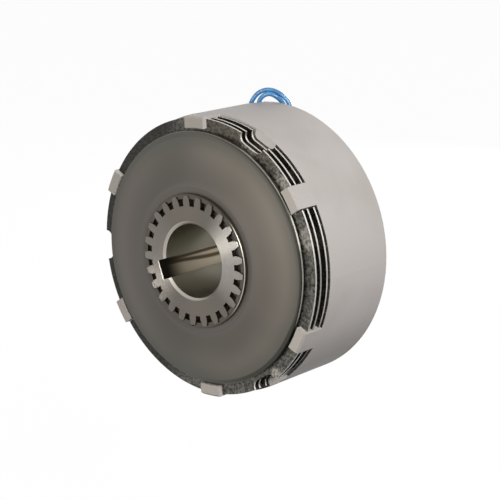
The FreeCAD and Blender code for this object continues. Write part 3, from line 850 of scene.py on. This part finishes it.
leadSet = {
    "dark": tone(42, 108, 164),
    "light": tone(78, 142, 192),
    "cloudScale": 160.0,
    "cloud": (0.3, 0.7),
    "rippleScale": 300.0,
    "rippleDepth": 0.00001,
    "roughness": 0.28,
    "roughRipple": 0.12,
    "coat": 0.5,
    "coatRoughness": 0.08,
}


def leadInsulation(values):
    finish = Finish("leadInsulation", IOR=1.5, Coat_Weight=values["coat"],
                    Coat_Roughness=values["coatRoughness"])
    cloud = finish.noise(finish.place(), values["cloudScale"], detail=2.0)
    cloud = finish.between(cloud, *values["cloud"])
    colour = finish.blend(cloud, values["dark"], values["light"])
    ripple = finish.noise(finish.place(), values["rippleScale"], detail=2.0)
    return finish.give(Base_Color=colour, Roughness=values["roughness"] + ripple * values["roughRipple"],
                       Normal=finish.bump(ripple, values["rippleDepth"], strength=0.2))


metalRows = {
    # slot: name, dark, light, roughness, pitch of the drawn or turned marks
    "bush_bronze": ("bushBronze", tone(140, 98, 58), tone(178, 130, 78), 0.3, 0.0005),
    "copper_wire": ("copperWire", tone(150, 78, 40), tone(190, 104, 58), 0.25, 0.0008),
    "tinned_copper": ("tinnedCopper", tone(176, 172, 164), tone(214, 210, 202), 0.25, 0.0003),
}

mouldedRows = {
    # slot: name, dark, light, roughness, scale and depth of the grain
    "bobbin_plastic": ("bobbinPlastic", tone(190, 182, 160), tone(214, 208, 186), 0.5, 600.0, 0.00003),
    "wrap_tape": ("wrapTape", tone(186, 166, 100), tone(212, 194, 130), 0.6, 900.0, 0.00005),
    "potting_resin": ("pottingResin", tone(24, 24, 25), tone(38, 38, 38), 0.25, 300.0, 0.00002),
    "splice_sleeve": ("spliceSleeve", tone(28, 28, 30), tone(44, 44, 46), 0.5, 500.0, 0.00003),
    "seal_rubber": ("sealRubber", tone(26, 26, 26), tone(44, 43, 42), 0.55, 700.0, 0.00004),
    "tie_nylon": ("tieNylon", tone(206, 202, 190), tone(226, 222, 212), 0.4, 500.0, 0.00002),
}

finishes = {
    "body_steel": bodySteel(bodySet),
    "armature_steel": armatureSteel(armatureSet),
    "outer_disc_steel": outerDiscSteel(outerSet),
    "inner_disc_steel": innerDiscSteel(innerSet),
    "hub_steel": hubSteel(hubSet),
    "ring_steel": ringSteel(ringSet),
    "lead_insulation": leadInsulation(leadSet),
}
for slot, row in metalRows.items():
    finishes[slot] = plainMetal(metalShared, *row)
for slot, row in mouldedRows.items():
    finishes[slot] = moulded(mouldedShared, *row)

for part in frame["record"]["subparts"]:
    node = nodes[part["node"]]
    node.data.materials.clear()
    node.data.materials.append(finishes[part["material_slot"]])
print("finishes given to", len(nodes), "nodes")


# Leads, from the seal to the wound-up length behind the body

leadShared = {
    "radius": 0.00095,
    "coilX": -0.0103,
    "coilZ": 0.0385,
    "outerTurn": 0.01235,
    "innerTurn": 0.01045,
    "layer": 0.00095,        # half the step from the front layer to the rear one
    "pointsPerTurn": 18,
    "changes": (325, 650, 975),
    "changeSpan": 30,
    "windingDeg": 1170,
    "tail": 0.0120,
    "tailShares": (0.0, 0.35, 0.7, 1.0),
    "order": 3,
    "resolution": 8,
    "roundness": 5,
}

leadSets = {
    "leadA": {
        "node": "lead_a", "coil": "lead_a_coil", "end": "lead_a_end", "coilY": 0.0054,
        "route": [
            (-0.01295, -0.0020, 0.04783), (-0.01380, -0.0020, 0.05163), (-0.0133, -0.0017, 0.0557),
            (-0.0106, -0.0004, 0.0600), (-0.0064, 0.0015, 0.0616), (-0.0024, 0.0034, 0.0603),
            (0.0012, 0.0051, 0.0571), (0.0028, 0.0054, 0.0528), (0.0030, 0.0050, 0.0483),
            (0.0024, 0.0045, 0.0439),
        ],
    },
    "leadB": {
        "node": "lead_b", "coil": "lead_b_coil", "end": "lead_b_end", "coilY": 0.0096,
        "route": [
            (-0.00865, -0.0020, 0.04879), (-0.00939, -0.0020, 0.05211), (-0.0090, -0.0019, 0.0556),
            (-0.0079, -0.0016, 0.0584), (-0.0049, -0.0004, 0.0603), (-0.0019, 0.0011, 0.0591),
            (-0.0005, 0.0034, 0.0565), (0.0001, 0.0060, 0.0530), (0.0013, 0.0081, 0.0488),
            (0.0024, 0.0086, 0.0443),
        ],
    },
}


def smoothStep(value):
    value = min(max(value, 0.0), 1.0)
    return value * value * (3 - 2 * value)


def coilPoints(shared, coilY):
    # outer front turn, inner front turn, inner rear turn, then a quarter of the outer rear one
    points = []
    step = 360 / shared["pointsPerTurn"]
    outside = 1 / math.cos(math.radians(step / 2))   # the smooth line cuts inside its points
    for k in range(1, round(shared["windingDeg"] / step) + 1):
        turned = k * step
        changed = [smoothStep((turned - start) / shared["changeSpan"]) for start in shared["changes"]]
        inward, rearward, outwardAgain = changed
        radius = shared["outerTurn"] + (shared["innerTurn"] - shared["outerTurn"]) * (inward - outwardAgain)
        radius *= outside
        y = coilY + shared["layer"] * (2 * rearward - 1)
        angle = -math.radians(turned)
        x = shared["coilX"] + radius * math.cos(angle)
        points.append((x, y, shared["coilZ"] + radius * math.sin(angle)))
    return points


def smoothLine(name, points, shared):
    curve = bpy.data.curves.new(name, "CURVE")
    curve.dimensions = "3D"
    spline = curve.splines.new("NURBS")
    spline.points.add(len(points) - 1)
    for point, place in zip(spline.points, points):
        point.co = (*place, 1)
    spline.order_u = shared["order"]
    spline.use_endpoint_u = True
    spline.resolution_u = shared["resolution"]
    curve.bevel_depth = shared["radius"]
    curve.bevel_resolution = shared["roundness"]
    curve.use_fill_caps = True
    line = bpy.data.objects.new(name, curve)
    bpy.context.scene.collection.objects.link(line)
    return line


def leadEnd(values, shared):
    # where the insulation stops
    x = shared["coilX"] - shared["tail"]
    return (x, values["coilY"] + shared["layer"], shared["coilZ"] - shared["outerTurn"])


endSet = {
    "length": 0.0070,
    "strandRadius": 0.00021,
    "circle": 0.00040,                # six strands lie round one
    "strands": 6,
    "turns": 0.9,
    "spread": 0.25,                   # how much further apart they are at the tip
    "spreadPower": 4,
    "uneven": 0.02,                   # how much shorter some are, in steps
    "unevenSteps": 3,
    "hidden": 0.05,                   # share of their length inside the insulation
    "steps": 16,
    "roundness": 3,
}


def makeStrands(name, node, place, values):
    # bare end of a lead: twisted, tinned strands
    startX, y, z = place
    curve = bpy.data.curves.new(name, "CURVE")
    curve.dimensions = "3D"
    curve.bevel_depth = values["strandRadius"]
    curve.bevel_resolution = values["roundness"]
    curve.use_fill_caps = True
    for k in range(values["strands"] + 1):
        circle = values["circle"] if k else 0.0
        spline = curve.splines.new("POLY")
        spline.points.add(values["steps"])
        for step, point in enumerate(spline.points):
            share = step / values["steps"]
            angle = 2 * math.pi * (k / values["strands"] + values["turns"] * share)
            reach = circle * (1 + values["spread"] * share ** values["spreadPower"])
            along = share * (1 - values["uneven"] * (k % values["unevenSteps"]))
            along = along * (1 + values["hidden"]) - values["hidden"]
            length = values["length"] * along
            point.co = (startX - length, y + reach * math.cos(angle), z + reach * math.sin(angle), 1)
    strands = bpy.data.objects.new(name, curve)
    bpy.context.scene.collection.objects.link(strands)
    curve.materials.append(finishes["tinned_copper"])
    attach(strands, "brake_body")
    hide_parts(node)
    return strands


tieSet = {
    "near": 0.00935,                  # the strap's inside, nearest to the coils' middle and furthest from it
    "far": 0.01345,
    "front": 0.00335,
    "rear": 0.01165,
    "thick": 0.0009,
    "width": 0.0025,
    "corner": 0.0007,
    "cornerSteps": 6,
    "ribPitch": 0.0008,
    "ribDepth": 0.00016,
    "rail": 0.80,                     # share of the width between the smooth rails
    "ribs": 0.76,
    "step": 0.0002,
    "head": (0.0030, 0.0038, 0.0036),
    "stub": 0.0028,
    "stubWidth": 0.0023,
    "stubPlace": 0.45,                # how far across the head it stands
    "stubSunk": 0.0003,               # in the head, and how far its other end stands out in front
    "stubFront": 0.0004,
    "softEdge": 0.00025,
}


def strapLoop(values):
    # points along the strap's inside with the direction outwards: distance from the middle, and y
    corner = values["corner"]
    low = Vector((values["near"] + corner, values["front"] + corner))
    high = Vector((values["far"] - corner, values["rear"] - corner))
    places = []
    turns = [((high.x, low.y), -90), ((high.x, high.y), 0), ((low.x, high.y), 90), ((low.x, low.y), 180)]
    for (centre, startDeg), (nextCentre, _) in zip(turns, turns[1:] + turns[:1]):
        for k in range(values["cornerSteps"] + 1):
            angle = math.radians(startDeg + 90 * k / values["cornerSteps"])
            out = Vector((math.cos(angle), math.sin(angle)))
            places.append((Vector(centre) + out * corner, out))
        out = places[-1][1]
        first, last = places[-1][0], Vector(nextCentre) + out * corner
        count = round((last - first).length / values["step"])
        places += [(first.lerp(last, k / count), out) for k in range(1, count)]
    return places


def makeTie(name, middle, values):
    # ribbed strap, its head and the cut end that stands out of it
    x, z = middle
    verts = []
    faces = []
    places = strapLoop(values)
    half = values["width"] / 2
    run = 0.0
    before = places[-1][0]
    for inner, out in places:
        run += (inner - before).length
        before = inner
        rib = values["ribDepth"] if run % values["ribPitch"] < values["ribPitch"] / 2 else 0.0
        outer = inner + out * (values["thick"] - values["ribDepth"] + rib)
        rail = inner + out * values["thick"]
        side = [(inner, 1.0), (rail, 1.0), (rail, values["rail"]), (outer, values["ribs"])]
        section = [(at, -share) for at, share in side] + side[::-1]
        for at, share in section:
            verts.append((x - at.x, at.y, z + half * share))
    around = len(section)
    for k in range(len(places)):
        here, there = k * around, (k + 1) % len(places) * around
        for j in range(around):
            onwards = (j + 1) % around
            faces.append((here + j, here + onwards, there + onwards, there + j))
    boxes = []
    headReach, headY, headZ = values["head"]
    headMiddle = (values["front"] + values["rear"]) / 2
    far = values["far"]
    frontY, rearY = headMiddle - headY / 2, headMiddle + headY / 2
    boxes.append(((far, frontY, -headZ / 2), (far + headReach, rearY, headZ / 2)))
    stubStart = far + headReach * values["stubPlace"]
    stubEnd = stubStart + values["thick"]
    stubHalf = values["stubWidth"] / 2
    sunk = values["stubSunk"]
    boxes.append(((stubStart, rearY - sunk, -stubHalf), (stubEnd, rearY + values["stub"], stubHalf)))
    boxes.append(((stubStart, frontY - values["stubFront"], -stubHalf), (stubEnd, frontY + sunk, stubHalf)))
    for low, high in boxes:
        first = len(verts)
        for reach in (low[0], high[0]):
            for y in (low[1], high[1]):
                for up in (low[2], high[2]):
                    verts.append((x - reach, y, z + up))
        for quad in ((0, 1, 3, 2), (4, 6, 7, 5), (0, 4, 5, 1), (2, 3, 7, 6), (0, 2, 6, 4), (1, 5, 7, 3)):
            faces.append(tuple(first + corner for corner in quad))
    mesh = bpy.data.meshes.new(name)
    mesh.from_pydata(verts, [], faces)
    tie = bpy.data.objects.new(name, mesh)
    bpy.context.scene.collection.objects.link(tie)
    mesh.materials.append(finishes["tie_nylon"])
    soften(tie, values["softEdge"])
    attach(tie, "brake_body")
    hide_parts("lead_tie")
    return tie


def soften(piece, width, segments=2, sharpDeg=40):
    # small rounded edges, so that each edge catches the light
    edge = piece.modifiers.new("softEdge", "BEVEL")
    edge.width = width
    edge.segments = segments
    edge.limit_method = "ANGLE"
    edge.angle_limit = math.radians(sharpDeg)
    edge.harden_normals = False


def makeLead(name, values, shared):
    coil = coilPoints(shared, values["coilY"])
    _, rearY, bottomZ = leadEnd(values, shared)
    tail = [(shared["coilX"] - shared["tail"] * share, rearY, bottomZ) for share in shared["tailShares"]]
    points = values["route"] + coil[:-1] + tail
    line = smoothLine(name, points, shared)
    line.data.materials.append(finishes["lead_insulation"])
    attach(line, "brake_body")
    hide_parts(values["node"], values["coil"])
    return line


for leadName, leadValues in leadSets.items():
    lead = makeLead(leadName, leadValues, leadShared)
    goesWith = [makeStrands(leadName + "Strands", leadValues["end"], leadEnd(leadValues, leadShared), endSet)]
    if leadName == "leadA":
        goesWith.append(makeTie("cableTie", (leadShared["coilX"], leadShared["coilZ"]), tieSet))
print("leads made")

creaseDeg = 30      # CAD faces that meet at more than this keep a sharp edge

for node in nodes.values():
    for polygon in node.data.polygons:
        polygon.use_smooth = True
    node.data.set_sharp_from_angle(angle=math.radians(creaseDeg))
